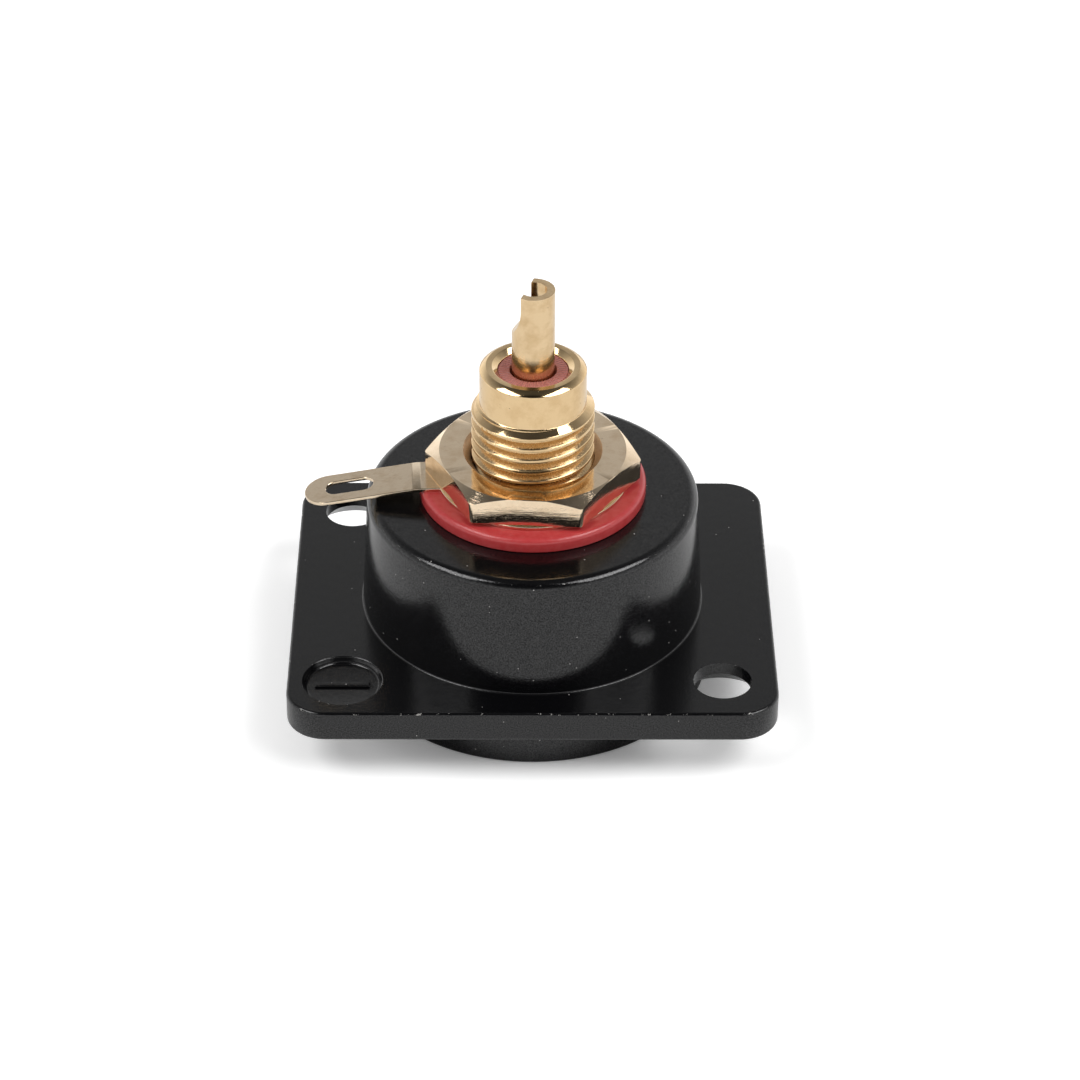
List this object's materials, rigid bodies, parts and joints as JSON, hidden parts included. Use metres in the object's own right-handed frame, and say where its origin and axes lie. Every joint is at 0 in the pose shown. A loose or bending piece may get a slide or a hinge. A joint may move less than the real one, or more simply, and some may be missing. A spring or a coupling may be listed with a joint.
{
  "type": "rca panel socket",
  "caption": "Panel-mounting phono socket: a black die-cast flange housing with an insulated gold-plated jack, clamp nut, earth lug and solder cup.",
  "frame": {"origin": "on the jack's axis, in the rear face of the flange, at the centre of the two screw holes", "axes": "+Z along the jack's axis towards the solder side, X along the flange's long side, Y along its short side"},
  "size_m": [0.031, 0.026, 0.0281],
  "materials": {
    "black_casting": "gloss black paint on a die casting",
    "gold_plate": "pale gold plate on turned brass",
    "nut_plate": "pale gold plate, lathe-turned faces",
    "lug_plate": "satin pale gold plate on stamped sheet",
    "contact_plate": "pale gold plate on turned brass",
    "red_washer": "moulded red plastic",
    "pink_insulator": "turned dull red plastic",
    "white_insulator": "white low-friction plastic"
  },
  "bodies": {
    "root": {"flange_housing": "black_casting", "jack_body": "gold_plate", "front_insulator": "white_insulator", "rear_insulator": "pink_insulator", "centre_contact": "contact_plate", "front_washer": "red_washer", "rear_washer": "red_washer", "earth_lug": "lug_plate", "hex_nut": "nut_plate"}
  },
  "joints": []
}
